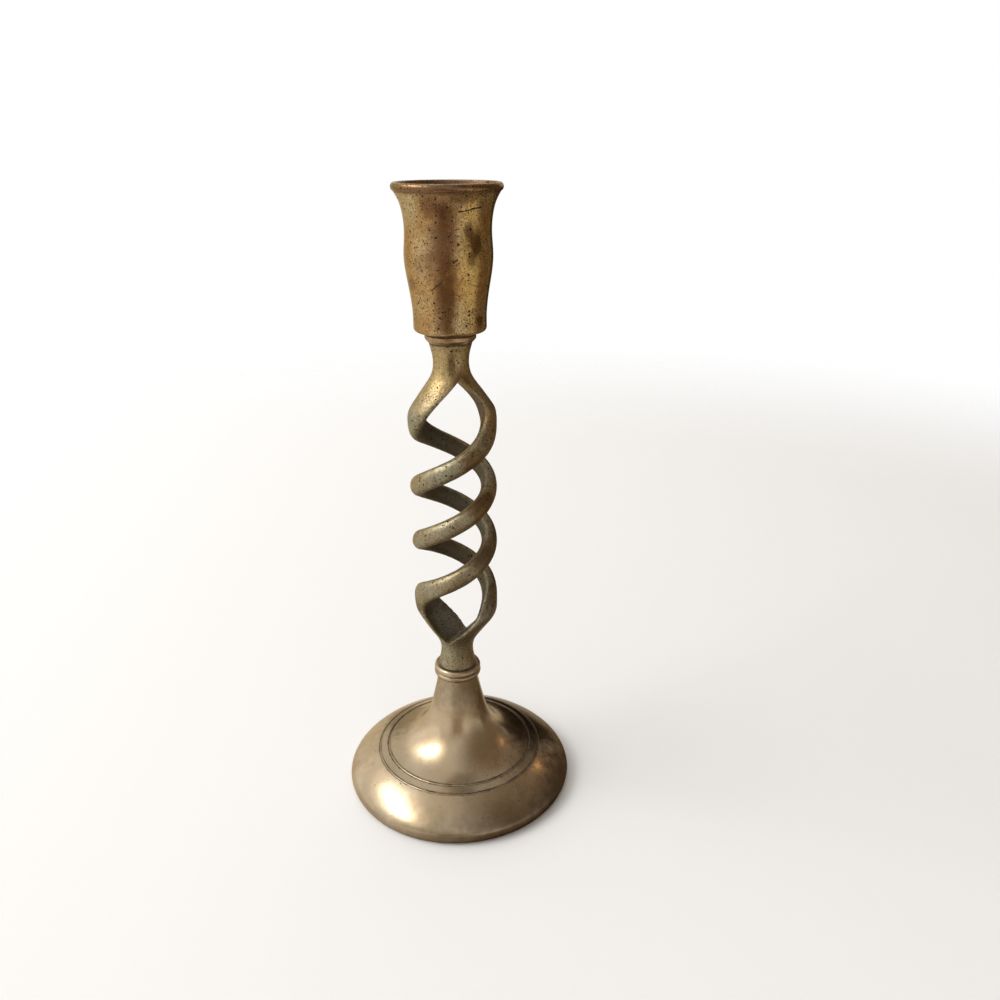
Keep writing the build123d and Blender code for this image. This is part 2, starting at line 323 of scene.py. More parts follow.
@dataclass(frozen=True)
class Brass:
    """Aged brass: pale metal in clouds, brown tarnish, dark casting pits, grime in the joints, and
    in places painted shade.

    Attributes:
        title: The material's name.
        pale: Colour of the cleaner clouds.
        golden: Colour of the warmer clouds.
        brown: Colour of the tarnish.
        grime: Colour of the grime in joints and scratches, of painted shade on faces that look
            inwards or down and at the foot's bottom edge, and of the sand inside a raw casting.
        pit_colour: Colour of the pits.
        making: How the piece was made.
        roughness: Mean roughness of the clean metal.
        cloud_size: Size of the clouds in millimetres.
        tarnish: Share of the surface with tarnish, from 0 to 1.
        pits: Share of the pit cells that are open, from 0 to 1.
        pit_size: Radius of a large pit in millimetres.
        grain: How much brown the fine grain shows, from 0 to 1.
        skin: Height of the fine grain in millimetres.
        grime_and_shade_bands: Dark bands: grime where two forms meet, and painted shade at the
            foot's bottom edge.
        shaded_inside: How much painted shade, with some grime, darkens the faces that look inwards
            or down, from 0 to 1.
        raw_inside: How far those faces are left dull and sandy as cast, from 0 to 1.
        scratches: Scores in the surface.
        stains_and_painted_light: Patches of another tone: tarnish and marks, and in places painted
            shade, painted reflections and a painted highlight.
    """

    title: str
    pale: Colour
    golden: Colour
    brown: Colour
    grime: Colour
    pit_colour: Colour = (0.044, 0.026, 0.014)
    making: Making = Making.TURNED
    roughness: float = 0.26
    cloud_size: float = 16.0
    tarnish: float = 0.4
    pits: float = 0.4
    pit_size: float = 0.34
    grain: float = 0.25
    skin: float = 0.004
    grime_and_shade_bands: tuple[GrimeAndShadeBand, ...] = ()
    shaded_inside: float = 0.0
    raw_inside: float = 0.0
    scratches: tuple[Scratch, ...] = ()
    stains_and_painted_light: tuple[StainAndPaintedLight, ...] = ()

    def material(self) -> bpy.types.Material:
        """Build the material.

        Returns:
            The new material.
        """
        made = bpy.data.materials.new(self.title)
        made.use_nodes = True
        graph = Graph(made.node_tree)
        place = graph.place()
        clouds = graph.noise(place, self.cloud_size, detail=3.0, rough=0.55)
        grain = graph.noise(place, GRAIN_SIZE, detail=2.0, rough=0.6)
        ragged = graph.noise(place, RAGGED_SIZE, detail=4.0, rough=0.62)
        tall = graph.vector("MULTIPLY", place, {1: (1.0, 1.0, 0.55)})
        start = 0.60 - 0.2 * self.tarnish
        wash = graph.noise(tall, self.cloud_size * 0.8, detail=4.0, rough=0.6)
        wash = wash.step(start, start + 0.25)
        start = 0.74 - 0.22 * self.tarnish
        blotch = graph.noise(place, self.cloud_size * 0.3, detail=3.0, rough=0.65)
        blotch = blotch.step(start, start + 0.12)
        mottle = graph.noise(place, MOTTLE_SIZE, detail=3.0, rough=0.6).step(0.48, 0.66)
        pits = self.pit_mask(graph, place)
        dirt_and_shade = self.dirt_and_shade_mask(graph, place, ragged)

        colour = graph.blend(clouds.step(0.35, 0.65), self.golden, self.pale)
        colour = graph.blend(wash * 0.65, colour, self.brown)
        colour = graph.blend(blotch * 0.5, colour, self.brown)
        rough = (grain - 0.5) * (self.grain * 0.3) + (clouds - 0.5) * 0.12 + wash * 0.08
        relief = self.relief(graph, place, grain) - pits * 0.06
        # Painted shade, with some grime, on the faces that look inwards or down: darker and duller
        if self.shaded_inside:
            inside = (self.shade(graph) + (ragged - 0.5) * 0.7).step(0.10, 0.80)
            colour = graph.blend(inside * self.shaded_inside, colour, self.grime)
            rough = rough + inside * (0.3 * self.shaded_inside)
        # Tarnish and marks, and in places painted shade, painted reflections and a painted
        # highlight
        for stain_and_light in self.stains_and_painted_light:
            colour = graph.blend(self.patch(graph, place, ragged, stain_and_light), colour, stain_and_light.colour)
        speckle = grain.step(0.44, 0.66).larger(mottle * 0.8)
        colour = graph.blend(speckle * self.grain, colour, self.brown)
        # Grime in joints and scratches, with painted shade at the foot's bottom edge
        colour = graph.blend(dirt_and_shade, colour, self.grime)
        colour = graph.blend(pits * 0.92, colour, self.pit_colour)
        rough = rough + dirt_and_shade * 0.25 + pits * 0.4 + self.roughness
        if self.raw_inside:
            inside = self.shade(graph).step(0.50, 0.70) * self.raw_inside
            sand = graph.blend(mottle * 0.7, self.brown, self.grime)
            colour = graph.blend(inside, colour, sand)
            rough = rough + inside * 0.3
            relief = relief + inside * (grain * 0.12)

        bump = graph.node(
            "ShaderNodeBump", None, {"Strength": 1.0, "Distance": MM, "Height": relief}
        )
        shader = graph.node(
            "ShaderNodeBsdfPrincipled",
            None,
            {
                "Base Color": colour,
                "Metallic": 1.0 - dirt_and_shade * 0.3,
                "Specular Tint": (*EDGE_TINT, 1.0),
                "Roughness": rough,
                "Normal": bump.outputs[0],
            },
        )
        graph.node("ShaderNodeOutputMaterial", None, {"Surface": shader.outputs[0]})
        return made

    @staticmethod
    def shade(graph: Graph) -> Signal:
        """Return how much a face looks at the axis or down, as the mesh notes it."""
        noted = graph.node("ShaderNodeAttribute", {"attribute_name": SHADE})
        return Signal(graph, noted.outputs["Fac"])

    def pit_mask(self, graph: Graph, place: Any) -> Signal:
        """Return where the casting pits are: large and small ones, gathered in clusters.

        Args:
            graph: The material's graph.
            place: The coordinates in millimetres.

        Returns:
            The mask from 0 to 1.
        """
        open_share = graph.noise(place, 7.0, detail=3.0, rough=0.6) * 3.2 + (self.pits - 1.75)
        mask = None
        for cell, size in PIT_LAYERS:
            distance, chance, width = graph.cells(place, cell)
            radius = (width * 0.5 + 0.5) * (self.pit_size * size)
            hole = (radius - distance).step(0.0, 0.07) * (open_share - chance).step(0.0, 0.08)
            mask = hole if mask is None else mask.larger(hole)
        return mask

    @staticmethod
    def patch(graph: Graph, place: Any, ragged: Signal, stain_and_light: StainAndPaintedLight) -> Signal:
        """Return how much of a patch of another tone shows.

        Args:
            graph: The material's graph.
            place: The coordinates in millimetres.
            ragged: Noise that tears its edge.
            stain_and_light: The patch.

        Returns:
            The mask, from 0 to the patch's strength.
        """
        way = graph.vector("SUBTRACT", place, {1: stain_and_light.middle})
        way = graph.vector("DIVIDE", way, {1: stain_and_light.reach})
        away = Signal(graph, graph.vector("LENGTH", way, output=1))
        away = away + (ragged - 0.5) * (1.1 * stain_and_light.torn)
        return away.step(1.0, 0.35) * stain_and_light.strength

    def dirt_and_shade_mask(self, graph: Graph, place: Any, ragged: Signal) -> Signal:
        """Return where grime lies, in the joints and in the scratches, and where the foot's bottom
        edge has painted shade.

        Args:
            graph: The material's graph.
            place: The coordinates in millimetres.
            ragged: Noise that breaks the bands up.

        Returns:
            The mask from 0 to 1.
        """
        parts = graph.node("ShaderNodeSeparateXYZ", None, {0: place})
        height = Signal(graph, parts.outputs[2])
        wander = graph.noise(place, WANDER_SIZE, detail=3.0, rough=0.6)
        mask = wander.step(0.80, 0.95)
        for dark_band in self.grime_and_shade_bands:
            away = abs(height + (wander - 0.5) * dark_band.width - dark_band.height)
            broken = ragged.step(0.32, 0.62) * (0.6 * dark_band.strength) + 0.4 * dark_band.strength
            mask = mask.larger(away.step(dark_band.width, dark_band.width * 0.25) * broken)
        for scratch in self.scratches:
            for start, end in pairwise(scratch.path):
                mask = mask.larger(self.score(graph, place, wander, start, end, scratch.width))
        return mask

    @staticmethod
    def score(
        graph: Graph, place: Any, wander: Signal, start: Spot, end: Spot, width: float
    ) -> Signal:
        """Return the mask of one stretch of a scratch, whose sides waver a little.

        Args:
            graph: The material's graph.
            place: The coordinates in millimetres.
            wander: Noise that moves its sides.
            start: Where it starts.
            end: Where it ends.
            width: Its half width in millimetres.

        Returns:
            The mask from 0 to 1.
        """
        along = Vector(end) - Vector(start)
        way = graph.vector("SUBTRACT", place, {1: start})
        dot = Signal(graph, graph.vector("DOT_PRODUCT", way, {1: along / along.length_squared}, 1))
        share = graph.node("ShaderNodeClamp", None, {"Value": dot}).outputs[0]
        nearest = graph.vector("SCALE", tuple(along), {"Scale": share})
        distance = Signal(graph, graph.vector("DISTANCE", way, {1: nearest}, 1))
        return (distance + (wander - 0.5) * (width * 2.4)).step(width, width * 0.4)

    def relief(self, graph: Graph, place: Any, grain: Signal) -> Signal:
        """Return the height of the skin in millimetres.

        Args:
            graph: The material's graph.
            place: The coordinates in millimetres.
            grain: The fine grain.

        Returns:
            The height as a signal.
        """
        soft = graph.noise(place, 6.0, detail=2.0, rough=0.5)
        if self.making is Making.CAST:
            dents = graph.noise(place, 1.4, detail=2.0, rough=0.55)
            hammered = graph.noise(place, 0.6, detail=1.0, rough=0.5)
            return soft * 0.08 + dents * 0.08 + hammered * 0.09
        parts = graph.node("ShaderNodeSeparateXYZ", None, {0: place})
        rings = graph.node(
            "ShaderNodeTexNoise",
            {"noise_dimensions": "1D"},
            {"W": Signal(graph, parts.outputs[2]), "Scale": 3.0, "Detail": 2.0},
        )
        return soft * 0.06 + grain * self.skin + Signal(graph, rings.outputs[0]) * 0.002


@dataclass(frozen=True)
class Steel:
    """Worn steel of the hardware: grey metal with fine streaks and a little rust.

    Attributes:
        title: The material's name.
        metal: Colour of the metal.
        streak: Colour of its dark streaks.
        rust: Colour of the rust.
        roughness: Roughness of the clean metal.
    """

    title: str = "worn_steel"
    metal: Colour = (0.42, 0.41, 0.39)
    streak: Colour = (0.24, 0.23, 0.22)
    rust: Colour = (0.16, 0.07, 0.03)
    roughness: float = 0.36

    def material(self) -> bpy.types.Material:
        """Build the material.

        Returns:
            The new material.
        """
        made = bpy.data.materials.new(self.title)
        made.use_nodes = True
        graph = Graph(made.node_tree)
        place = graph.place()
        streaked = graph.vector("MULTIPLY", place, {1: (1.0, 1.0, 7.0)})
        streaks = graph.noise(streaked, 1.2, detail=3.0, rough=0.6)
        patches = graph.noise(place, 2.6, detail=4.0, rough=0.65).step(0.52, 0.70)
        colour = graph.blend(streaks.step(0.3, 0.7) * 0.4, self.metal, self.streak)
        colour = graph.blend(patches * 0.7, colour, self.rust)
        bump = graph.node(
            "ShaderNodeBump",
            None,
            {"Strength": 0.6, "Distance": MM, "Height": streaks * 0.03 + patches * 0.02},
        )
        shader = graph.node(
            "ShaderNodeBsdfPrincipled",
            None,
            {
                "Base Color": colour,
                "Metallic": 1.0 - patches * 0.6,
                "Roughness": self.roughness + patches * 0.3 + (streaks - 0.5) * 0.2,
                "Normal": bump.outputs[0],
            },
        )
        graph.node("ShaderNodeOutputMaterial", None, {"Surface": shader.outputs[0]})
        return made


class Outline:
    """A turned outline in the X-Z plane, drawn from point to point in millimetres."""

    def __init__(self, start: Place, spacing: float = 0.35) -> None:
        """Start the outline.

        Args:
            start: The first point's radius and height.
            spacing: The distance between neighbouring points.
        """
        self.points: list[Place] = [start]
        self.spacing = spacing

    def line(self, end: Place) -> "Outline":
        """Draw a straight line to a point.

        Args:
            end: The radius and height of its end.

        Returns:
            The outline.
        """
        start = self.points[-1]
        count = max(1, round(math.dist(start, end) / (self.spacing * 3)))
        shares = [(index + 1) / count for index in range(count)]
        self.points += [
            (start[0] + (end[0] - start[0]) * share, start[1] + (end[1] - start[1]) * share)
            for share in shares
        ]
        return self

    def lines(self, *ends: Place) -> "Outline":
        """Draw straight lines through points.

        Args:
            ends: The radius and height of each line's end, in order.

        Returns:
            The outline.
        """
        for end in ends:
            self.line(end)
        return self

    def arc(self, middle: Place, end: Place) -> "Outline":
        """Draw an arc through a point.

        Args:
            middle: A point on the way.
            end: The arc's end.

        Returns:
            The outline.
        """
        start = self.points[-1]
        (ax, ay), (bx, by), (cx, cy) = start, middle, end
        twice = 2 * (ax * (by - cy) + bx * (cy - ay) + cx * (ay - by))
        sizes = [x * x + y * y for x, y in (start, middle, end)]
        centre_x = (sizes[0] * (by - cy) + sizes[1] * (cy - ay) + sizes[2] * (ay - by)) / twice
        centre_y = (sizes[0] * (cx - bx) + sizes[1] * (ax - cx) + sizes[2] * (bx - ax)) / twice
        radius = math.dist(start, (centre_x, centre_y))
        angles = [math.atan2(y - centre_y, x - centre_x) for x, y in (start, middle, end)]
        turn = (angles[2] - angles[0]) % math.tau
        if (angles[1] - angles[0]) % math.tau > turn:
            turn -= math.tau
        count = max(5, round(abs(turn) * radius / self.spacing))
        for index in range(1, count + 1):
            angle = angles[0] + turn * index / count
            self.points.append(
                (centre_x + radius * math.cos(angle), centre_y + radius * math.sin(angle))
            )
        return self

    def corner(self, tip: Place, end: Place) -> "Outline":
        """Draw a soft corner that leaves towards its tip and arrives from there.

        Args:
            tip: Where the sharp corner would be.
            end: Where the soft corner ends.

        Returns:
            The outline.
        """
        start = self.points[-1]
        count = max(5, round((math.dist(start, tip) + math.dist(tip, end)) / self.spacing))
        for index in range(1, count + 1):
            share = index / count
            here, there, last = (1 - share) ** 2, 2 * share * (1 - share), share**2
            self.points.append(
                (
                    here * start[0] + there * tip[0] + last * end[0],
                    here * start[1] + there * tip[1] + last * end[1],
                )
            )
        return self

    def curve(self, through: list[Place], start_angle: float, end_angle: float) -> "Outline":
        """Draw one smooth curve through points, with its directions at both ends.

        Args:
            through: The points after the present one.
            start_angle: Direction at its start in degrees from outwards, upwards positive.
            end_angle: Direction at its end.

        Returns:
            The outline.
        """
        knots = np.array([self.points[-1], *through])
        gaps = np.linalg.norm(np.diff(knots, axis=0), axis=1)
        count = len(knots)
        matrix = np.zeros((count, count))
        right = np.zeros((count, 2))
        for row, angle in ((0, start_angle), (count - 1, end_angle)):
            matrix[row, row] = 1.0
            right[row] = (math.cos(math.radians(angle)), math.sin(math.radians(angle)))
        for row in range(1, count - 1):
            before, after = gaps[row - 1], gaps[row]
            matrix[row, row - 1 : row + 2] = (after, 2 * (before + after), before)
            right[row] = 3 * (
                (knots[row] - knots[row - 1]) * after / before
                + (knots[row + 1] - knots[row]) * before / after
            )
        slopes = np.linalg.solve(matrix, right)
        for index, gap in enumerate(gaps):
            steps = max(2, round(gap / self.spacing))
            for step in range(1, steps + 1):
                t = step / steps
                here = (
                    (2 * t**3 - 3 * t**2 + 1) * knots[index]
                    + (t**3 - 2 * t**2 + t) * gap * slopes[index]
                    + (3 * t**2 - 2 * t**3) * knots[index + 1]
                    + (t**3 - t**2) * gap * slopes[index + 1]
                )
                self.points.append((float(here[0]), float(here[1])))
        return self


def between(start: Place, end: Place, across: float, up: float) -> Place:
    """Return the point at a share of the way across and a share of the way up."""
    return (start[0] + (end[0] - start[0]) * across, start[1] + (end[1] - start[1]) * up)


@dataclass
class Piece:
    """A piece of the holder, which stands for one CAD node.

    Attributes:
        title: The piece's name in the scene.
        node: The CAD node that it replaces.
        slot: The record's material slot; not used.
        finish: Its finish.
        unevenness: Strength and size of the waves of its surface, in millimetres.
    """

    title: str
    node: str
    slot: str
    finish: Brass
    unevenness: tuple[Place, ...] = ((0.06, 16.0),)

    def mesh(self) -> bpy.types.Object:
        """Model the piece, and return its object."""
        raise NotImplementedError

    def build(self) -> bpy.types.Object:
        """Model, finish and register the piece.

        Returns:
            The finished object.
        """
        made = self.mesh()
        made.name = self.title
        made.data.name = self.title
        if self.finish.shaded_inside or self.finish.raw_inside:
            self.mark_shade(made.data)
        for index, (strength, size) in enumerate(self.unevenness):
            texture = bpy.data.textures.new(f"{self.title}_waves_{index}", "CLOUDS")
            texture.noise_scale = size * MM
            wave = made.modifiers.new(f"waves_{index}", "DISPLACE")
            wave.texture = texture
            wave.texture_coords = "LOCAL"
            wave.strength = strength * MM
            bpy.ops.object.modifier_apply(modifier=wave.name)
        bpy.ops.object.shade_smooth_by_angle(angle=SMOOTH_ANGLE)
        made.data.materials.clear()
        made.data.materials.append(self.finish.material())
        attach(made, BODY)
        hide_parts(self.node)
        log.info("%s: %d faces, for %s", self.title, len(made.data.polygons), self.node)
        return made

    @staticmethod
    def mark_shade(mesh: bpy.types.Mesh) -> None:
        """Note at each vertex how much its face looks at the axis or down, for painted shade with
        some grime, and for raw casting.

        Args:
            mesh: The piece's mesh.
        """
        places = np.zeros(len(mesh.vertices) * 3, np.float32)
        normals = np.zeros(len(mesh.vertices) * 3, np.float32)
        mesh.vertices.foreach_get("co", places)
        mesh.vertices.foreach_get("normal", normals)
        places, normals = places.reshape(-1, 3), normals.reshape(-1, 3)
        out = places[:, :2] / np.maximum(np.linalg.norm(places[:, :2], axis=1, keepdims=True), MM)
        inward = -(normals[:, :2] * out).sum(axis=1)
        shade = np.clip(inward, 0.0, 1.0) + 0.55 * np.clip(-normals[:, 2], 0.0, 1.0)
        mesh.attributes.new(SHADE, "FLOAT", "POINT").data.foreach_set("value", shade)


@dataclass
class TurnedPiece(Piece):
    """A piece of revolution, spun from its outline.

    Attributes:
        steps: How many steps the spin has.
        weld: How near points are that become one, in millimetres.
    """

    steps: int = 240
    weld: float = 0.002

    def outline(self) -> Outline:
        """Return the outline to spin."""
        raise NotImplementedError

    def mesh(self) -> bpy.types.Object:
        """Draw the outline from one vertex, spin it and close it.

        Returns:
            The new object, at the origin.
        """
        places = [Vector((radius, 0.0, height)) * MM for radius, height in self.outline().points]
        bpy.ops.object.select_all(action="DESELECT")
        bpy.ops.mesh.primitive_plane_add(size=MM, location=places[0])
        made = bpy.context.object
        bpy.ops.object.mode_set(mode="EDIT")
        bpy.ops.mesh.merge(type="CENTER")
        for here, there in pairwise(places):
            bpy.ops.mesh.extrude_vertices_move(TRANSFORM_OT_translate={"value": there - here})
        bpy.ops.mesh.select_all(action="SELECT")
        bpy.ops.mesh.spin(steps=self.steps, angle=math.tau, center=(0, 0, 0), axis=(0, 0, 1))
        bpy.ops.mesh.select_all(action="SELECT")
        bpy.ops.mesh.remove_doubles(threshold=self.weld * MM)
        bpy.ops.mesh.normals_make_consistent(inside=False)
        bpy.ops.object.mode_set(mode="OBJECT")
        bpy.ops.object.transform_apply(location=True, rotation=True, scale=True)
        return made


@dataclass
class Foot(TurnedPiece):
    """The hollow domed foot with its two incised lines.

    Attributes:
        radius: The largest radius, at the height edge_height.
        height: The height of the neck's end, where its radius is neck_radius.
        rest_radius: The outer radius of the rim that it stands on.
        rim_inner_radius: The inner radius of that rim.
        outer_line: Radius and height of the outer incised line.
        inner_line: Radius and height of the inner one.
        line_width: The width of both.
        seat: Radius and height of the washer's seat in the hollow.
        rod_hole: The radius of the tie rod's hole.
        socket_radius: The radius of the socket for the stem's spigot.
        socket_floor: The height of its floor.
        wall: How thick the casting is.
        skirt_shares: Points of the skirt, as shares of the way from the edge to the outer line.
        trumpet_shares: Points of the dome, as shares of the way from the inner line to the neck.
    """

    radius: float = 44.5
    height: float = 47.2
    edge_height: float = 3.0
    rest_radius: float = 42.3
    rim_inner_radius: float = 39.7
    outer_line: Place = (32.4, 13.6)
    inner_line: Place = (28.7, 14.8)
    line_width: float = 0.7
    neck_radius: float = 7.7
    seat: Place = (9.4, 26.0)
    rod_hole: float = 3.3
    socket_radius: float = 5.08
    socket_floor: float = 41.2
    wall: float = 2.6
    skirt_shares: tuple[Place, ...] = ((0.21, 0.40), (0.66, 0.785))
    trumpet_shares: tuple[Place, ...] = ((0.438, 0.13), (0.757, 0.377), (0.906, 0.685))

    def outline(self) -> Outline:
        """Draw the outline: up inside the hollow, down the bore and over the outside.

        Returns:
            The closed outline.
        """
        edge = (self.radius, self.edge_height)
        neck = (self.neck_radius, self.height)
        skirt = [between(edge, self.outer_line, *share) for share in self.skirt_shares]
        trumpet = [between(self.inner_line, neck, *share) for share in self.trumpet_shares]
        inner = self.hollow_points([edge, *skirt, self.outer_line, self.inner_line, *trumpet, neck])
        half = self.line_width / 2
        turn = Vector(
            (self.inner_line[0] - self.outer_line[0], self.inner_line[1] - self.outer_line[1])
        )
        turn.normalize()
        drawn = Outline((self.rod_hole, self.socket_floor))
        drawn.lines((self.rod_hole, self.seat[1]), self.seat)
        drawn.curve([*reversed(inner), (self.rim_inner_radius, self.edge_height)], -90, -90)
        drawn.line((self.rim_inner_radius, 0.4)).corner((self.rim_inner_radius, 0.0), (40.1, 0.0))
        drawn.line((self.rest_radius - 0.3, 0.0))
        drawn.corner((self.radius - 0.4, 0.1), edge)
        before = (self.outer_line[0] + half * 0.9, self.outer_line[1] - half * 0.45)
        drawn.curve([*skirt, before], 90, 154)
        for line in (self.outer_line, self.inner_line):
            after = (line[0] + turn.x * half, line[1] + turn.y * half)
            drawn.arc((line[0] - turn.y * half, line[1] - abs(turn.x) * half), after)
            if line is self.outer_line:
                drawn.line((self.inner_line[0] - turn.x * half, self.inner_line[1] - turn.y * half))
        drawn.curve([*trumpet, (neck[0], neck[1] - 0.3)], 163, 97)
        drawn.corner(neck, (neck[0] - 0.3, neck[1]))
        drawn.lines(
            (self.socket_radius, self.height),
            (self.socket_radius, self.socket_floor),
            (self.rod_hole, self.socket_floor),
        )
        return drawn

    def hollow_points(self, outer: list[Place]) -> list[Place]:
        """Find the points of the hollow, one wall inside the outer form.

        Args:
            outer: The points of the outer form, from the edge up to the neck.

        Returns:
            The points that lie below the washer's seat, in the same order.
        """
        inner = []
        for index in range(2, len(outer) - 2):
            before, here, after = (Vector(place) for place in outer[index - 1 : index + 2])
            along = (after - before).normalized()
            moved = here - Vector((along.y, -along.x)) * self.wall
            if moved.y < self.seat[1] - self.wall:
                inner.append((moved.x, moved.y))
        return inner


@dataclass
class KnopRing(TurnedPiece):
    """The ring with two beads and a groove between them.

    Attributes:
        low: The height of its underside.
        high: The height of its top.
        end_radius: The radius of both ends.
        bore: The radius of its bore.
        lower_bead: Radius and height of the lower bead's crest.
        upper_bead: Radius and height of the upper bead's crest.
        edge_radius: The radius at the groove's edges.
        groove: Radius and height of the groove's bottom.
        groove_half: Half the groove's width.
    """

    low: float = 47.2
    high: float = 51.8
    end_radius: float = 8.2
    bore: float = 5.08
    lower_bead: Place = (9.05, 48.4)
    upper_bead: Place = (8.98, 50.3)
    edge_radius: float = 8.8
    groove: Place = (8.5, 49.4)
    groove_half: float = 0.2

    def outline(self) -> Outline:
        """Draw the ring's two beads and its bore.

        Returns:
            The closed outline.
        """
        drawn = Outline((self.bore, self.low), 0.15)
        drawn.line((self.end_radius, self.low))
        drawn.arc(self.lower_bead, (self.edge_radius, self.groove[1] - self.groove_half))
        drawn.corner(self.groove, (self.edge_radius, self.groove[1] + self.groove_half))
        drawn.arc(self.upper_bead, (self.end_radius, self.high))
        drawn.lines((self.bore, self.high), (self.bore, self.low))
        return drawn


@dataclass
class CupCollar(TurnedPiece):
    """The small collar under the cup.

    Attributes:
        low: The height of its underside.
        high: The height of its top.
        bore: The radius of its bore.
        foot_radius: The radius of its underside.
        radius: The radius of its upright side.
        side: The height of that side.
    """

    low: float = 178.8
    high: float = 181.7
    bore: float = 3.3
    foot_radius: float = 7.5
    radius: float = 8.8
    side: float = 1.5

    def outline(self) -> Outline:
        """Draw the collar's cone, its side and its bore.

        Returns:
            The closed outline.
        """
        drawn = Outline((self.bore, self.low), 0.15)
        drawn.line((self.foot_radius - 0.1, self.low))
        drawn.corner((self.foot_radius, self.low), (self.foot_radius + 0.1, self.low + 0.12))
        drawn.line((self.radius - 0.25, self.high - self.side - 0.25))
        edge = self.high - self.side
        drawn.corner((self.radius, edge), (self.radius, edge + 0.3))
        drawn.line((self.radius, self.high - 0.25))
        drawn.corner((self.radius, self.high), (self.radius - 0.25, self.high))
        drawn.lines((self.bore, self.high), (self.bore, self.low))
        return drawn


@dataclass
class CandleCup(TurnedPiece):
    """The flared cup with its rounded lip, its candle bore and the stud's hole.

    Attributes:
        low: The height of its underside.
        high: The height of its lip.
        collar_radius: The radius of the flat that stands on the collar.
        underside_rise: How far the underside rises from there to the side.
        corner_round: The radius of the corner between them.
        lower: Radius and height, above low, of the side's lowest point.
        belly: The same of its widest point under the waist.
        waist: The same of the waist.
        lip_radius: The radius of the lip.
        lip_height: How high the lip's band is.
        lip_taper: How much less its radius is at its lower edge.
        lip_step: How far the band stands proud of the flare.
        lip_round: How rounded its top is.
        lip_wall: How thick it is.
        bore_radius: The radius of the candle's bore.
        bore_low: The height, above low, of the bore's floor.
        bore_high: The height, above low, of its upper end.
        stud_hole: Radius and depth of the stud's hole.
        side_shares: Points of the side, as shares of the way from its lowest point to the belly.
        flare_shares: Points of the flare, as shares of the way from the waist to the lip.
    """

    low: float = 181.7
    high: float = 230.0
    collar_radius: float = 8.8
    underside_rise: float = 0.9
    corner_round: float = 1.7
    lower: Place = (12.4, 5.6)
    belly: Place = (14.7, 25.6)
    waist: Place = (14.3, 33.3)
    lip_radius: float = 18.15
    lip_height: float = 2.5
    lip_taper: float = 0.55
    lip_step: float = 0.15
    lip_round: float = 0.8
    lip_wall: float = 1.4
    bore_radius: float = 11.25
    bore_low: float = 12.6
    bore_high: float = 36.6
    stud_hole: Place = (3.05, 10.1)
    side_shares: tuple[Place, ...] = ((0.055, 0.14), (0.37, 0.44), (0.80, 0.74))
    flare_shares: tuple[Place, ...] = ((0.12, 0.417), (0.45, 0.74))

    def outline(self) -> Outline:
        """Draw the cup from the stud's hole round the outside to the bore's floor.

        Returns:
            The outline, which meets the axis at both ends.
        """
        low, high = self.low, self.high
        lower = (self.lower[0], low + self.lower[1])
        belly = (self.belly[0], low + self.belly[1])
        waist = (self.waist[0], low + self.waist[1])
        lip_low = (self.lip_radius - self.lip_taper, high - self.lip_height)
        flare_top = (lip_low[0] - self.lip_step, lip_low[1])
        corner = low + self.underside_rise
        drawn = Outline((0.0, low + self.stud_hole[1]))
        drawn.lines(
            (self.stud_hole[0], low + self.stud_hole[1]),
            (self.stud_hole[0], low),
            (self.collar_radius, low),
            (lower[0] - self.corner_round, corner),
        )
        drawn.corner((lower[0], corner), (lower[0], corner + self.corner_round)).line(lower)
        side = [between(lower, belly, *share) for share in self.side_shares]
        flare = [between(waist, flare_top, *share) for share in self.flare_shares]
        drawn.curve([*side, belly, waist, *flare, flare_top], 90, 58)
        drawn.line(lip_low)
        crest = (self.lip_radius, high - self.lip_height / 2)
        drawn.arc(crest, (self.lip_radius - self.lip_round, high))
        mouth = self.lip_radius - self.lip_wall
        drawn.line((mouth + 0.2, high)).corner((mouth, high), (mouth - 0.15, high - 0.2))
        drawn.curve([(self.bore_radius, low + self.bore_high)], 230, 270)
        drawn.line((self.bore_radius, low + self.bore_low + 0.4))
        drawn.corner(
            (self.bore_radius, low + self.bore_low), (self.bore_radius - 0.4, low + self.bore_low)
        )
        return drawn.line((0.0, low + self.bore_low))


@dataclass
class TwistStem(Piece):
    """The open twist stem: the CAD casting with an even skin, softened and dented by hand.

    Attributes:
        skin: Size of the skin's squares in millimetres.
        softening: How many times the skin is smoothed.
        weld: How near points are that become one, in millimetres.
    """

    unevenness: tuple[Place, ...] = ((0.14, 7.0), (0.06, 2.2))
    skin: float = 0.40
    softening: int = 8
    weld: float = 0.001

    def mesh(self) -> bpy.types.Object:
        """Copy the CAD casting, merge its loose triangles and give it an even skin.

        Returns:
            The new object, at the origin.
        """
        made = bpy.data.objects.new(self.title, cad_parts[self.node].data.copy())
        bpy.context.scene.collection.objects.link(made)
        bpy.ops.object.select_all(action="DESELECT")
        made.select_set(True)
        bpy.context.view_layer.objects.active = made
        bpy.ops.object.mode_set(mode="EDIT")
        bpy.ops.mesh.select_all(action="SELECT")
        bpy.ops.mesh.remove_doubles(threshold=self.weld * MM)
        bpy.ops.object.mode_set(mode="OBJECT")
        skin = made.modifiers.new("skin", "REMESH")
        skin.mode = "VOXEL"
        skin.voxel_size = self.skin * MM
        bpy.ops.object.modifier_apply(modifier=skin.name)
        soft = made.modifiers.new("softening", "SMOOTH")
        soft.iterations = self.softening
        bpy.ops.object.modifier_apply(modifier=soft.name)
        return made


def direction(azimuth: float, elevation: float) -> Vector:
    """Return the way to a place in the room.

    Args:
        azimuth: Its direction in degrees from the camera's side, towards the right positive.
        elevation: Its direction above the table in degrees.

    Returns:
        The unit vector.
    """
    turn, rise = math.radians(azimuth), math.radians(elevation)
    level = math.cos(rise)
    return Vector((math.sin(turn) * level, -math.cos(turn) * level, math.sin(rise)))


